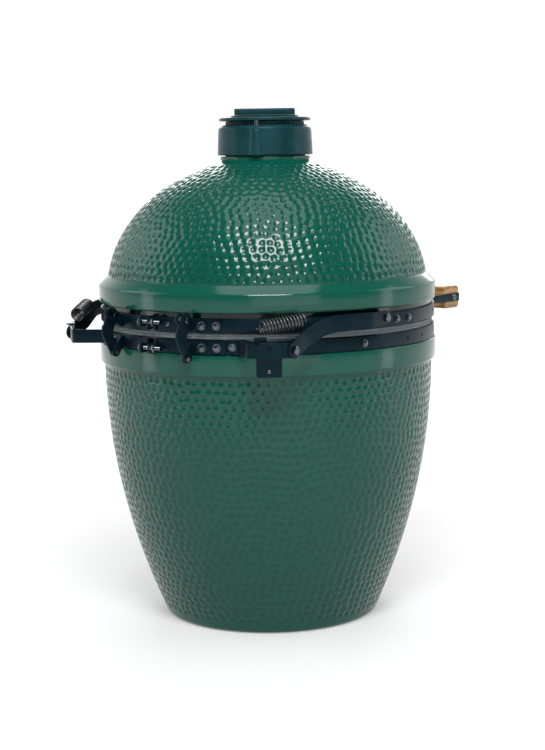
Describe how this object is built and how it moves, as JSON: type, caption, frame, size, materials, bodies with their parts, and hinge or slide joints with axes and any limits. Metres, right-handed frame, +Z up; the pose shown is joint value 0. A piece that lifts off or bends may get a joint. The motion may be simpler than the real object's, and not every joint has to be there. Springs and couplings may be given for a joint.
{
  "type": "kamado ceramic grill",
  "caption": "Egg-shaped ceramic charcoal grill with a spring-assisted hinged dome, vent cap, draft door, firebox, wire cooking grid and wooden handle.",
  "frame": {"origin": "centre of the ceramic base on the ground", "axes": "+Z up, front with the handle and draft door at -Y, hinge at +Y, +X to the right when facing +Y"},
  "size_m": [0.538, 0.6269, 0.7855],
  "materials": {
    "glazed_ceramic": "gloss green glaze",
    "bare_ceramic": "unglazed",
    "black_steel": "satin black powder coat",
    "spring_steel": "blackened",
    "plated_steel": "plated",
    "stainless_steel": "brushed",
    "cast_iron": "semi-gloss black",
    "grey_felt": "felt",
    "oak": "oiled",
    "dial_white": "matt",
    "needle_red": "satin",
    "lens_glass": "clear"
  },
  "bodies": {
    "base": {"base_shell": "glazed_ceramic", "lower_gasket": "grey_felt", "lower_band": "black_steel", "lower_band_bolt": "plated_steel", "lower_band_nut": "plated_steel", "lower_bracket_left": "black_steel", "lower_bracket_right": "black_steel", "spring_strap_left": "black_steel", "spring_strap_right": "black_steel", "spring_anchor_left": "black_steel", "spring_anchor_right": "black_steel", "spring_left": "spring_steel", "spring_right": "spring_steel", "arm_pivot_bolt_left": "plated_steel", "arm_pivot_bolt_right": "plated_steel", "link_foot_pin_left": "plated_steel", "link_foot_pin_right": "plated_steel", "hanger_tab": "black_steel", "draft_frame": "stainless_steel", "firebox": "bare_ceramic", "fire_ring": "bare_ceramic", "fire_grate": "cast_iron"},
    "links": {"link_left": "black_steel", "link_right": "black_steel", "link_top_pin_left": "plated_steel", "link_top_pin_right": "plated_steel"},
    "arms": {"arm_left": "black_steel", "arm_right": "black_steel"},
    "dome": {"dome_shell": "glazed_ceramic", "upper_gasket": "grey_felt", "upper_band": "black_steel", "upper_band_bolt": "plated_steel", "upper_band_nut": "plated_steel", "upper_bracket_left": "black_steel", "upper_bracket_right": "black_steel", "arm_mount_left": "black_steel", "arm_mount_right": "black_steel", "dome_pivot_stud_left": "plated_steel", "dome_pivot_stud_right": "plated_steel", "handle_bracket_left": "black_steel", "handle_bracket_right": "black_steel", "handle_screw_left": "plated_steel", "handle_screw_right": "plated_steel", "handle_grip": "oak", "gauge_case": "stainless_steel", "gauge_dial": "dial_white", "gauge_lens": "lens_glass", "cap_collar": "cast_iron", "chimney_gasket": "grey_felt"},
    "cap": {"cap_plate": "cast_iron"},
    "damper": {"damper_disc": "cast_iron"},
    "needle": {"gauge_needle": "needle_red"},
    "draft_door": {"draft_door": "stainless_steel"},
    "draft_screen": {"draft_screen": "stainless_steel"},
    "grid": {"cooking_grid": "stainless_steel"}
  },
  "joints": [
    {"name": "arm_swing", "type": "hinge", "parent": "base", "child": "arms", "pos_m": [0, 0.208, 0.4453], "axis": [-1, 0, 0], "range_deg": [0, 71.4], "deforming": ["spring_left", "spring_right"]},
    {"name": "dome_pivot", "type": "hinge", "parent": "arms", "child": "dome", "pos_m": [0, 0.0461, 0.4797], "axis": [1, 0, 0], "range_deg": [0, 16.41]},
    {"name": "link_swing", "type": "hinge", "parent": "base", "child": "links", "pos_m": [0, 0.265, 0.4302], "axis": [-1, 0, 0], "range_deg": [0, 87.12]},
    {"name": "cap_swing", "type": "hinge", "parent": "dome", "child": "cap", "pos_m": [-0.0325, 0.05744, 0.766], "axis": [0, 0, 1], "range_deg": [0, 100]},
    {"name": "damper_turn", "type": "hinge", "parent": "cap", "child": "damper", "pos_m": [0, 0, 0.773], "axis": [0, 0, 1], "range_deg": [0, 45]},
    {"name": "gauge_needle_turn", "type": "hinge", "parent": "dome", "child": "needle", "pos_m": [0, -0.22138, 0.6], "axis": [0, 0.8463, -0.5327], "range_deg": [0, 260]},
    {"name": "draft_door_slide", "type": "hinge", "parent": "base", "child": "draft_door", "pos_m": [0, 0, 0.06], "axis": [0, 0, 1], "range_deg": [0, 28]},
    {"name": "draft_screen_slide", "type": "hinge", "parent": "base", "child": "draft_screen", "pos_m": [0, 0, 0.06], "axis": [0, 0, 1], "range_deg": [0, 28]},
    {"name": "grid_lift", "type": "slide", "parent": "base", "child": "grid", "axis": [0, 0, 1], "range_m": [0, 0.1]}
  ],
  "couplings": [
    {"joint": "dome_pivot", "follows": "arm_swing", "ratio": 0.2296},
    {"joint": "link_swing", "follows": "arm_swing", "ratio": 1.2195}
  ]
}
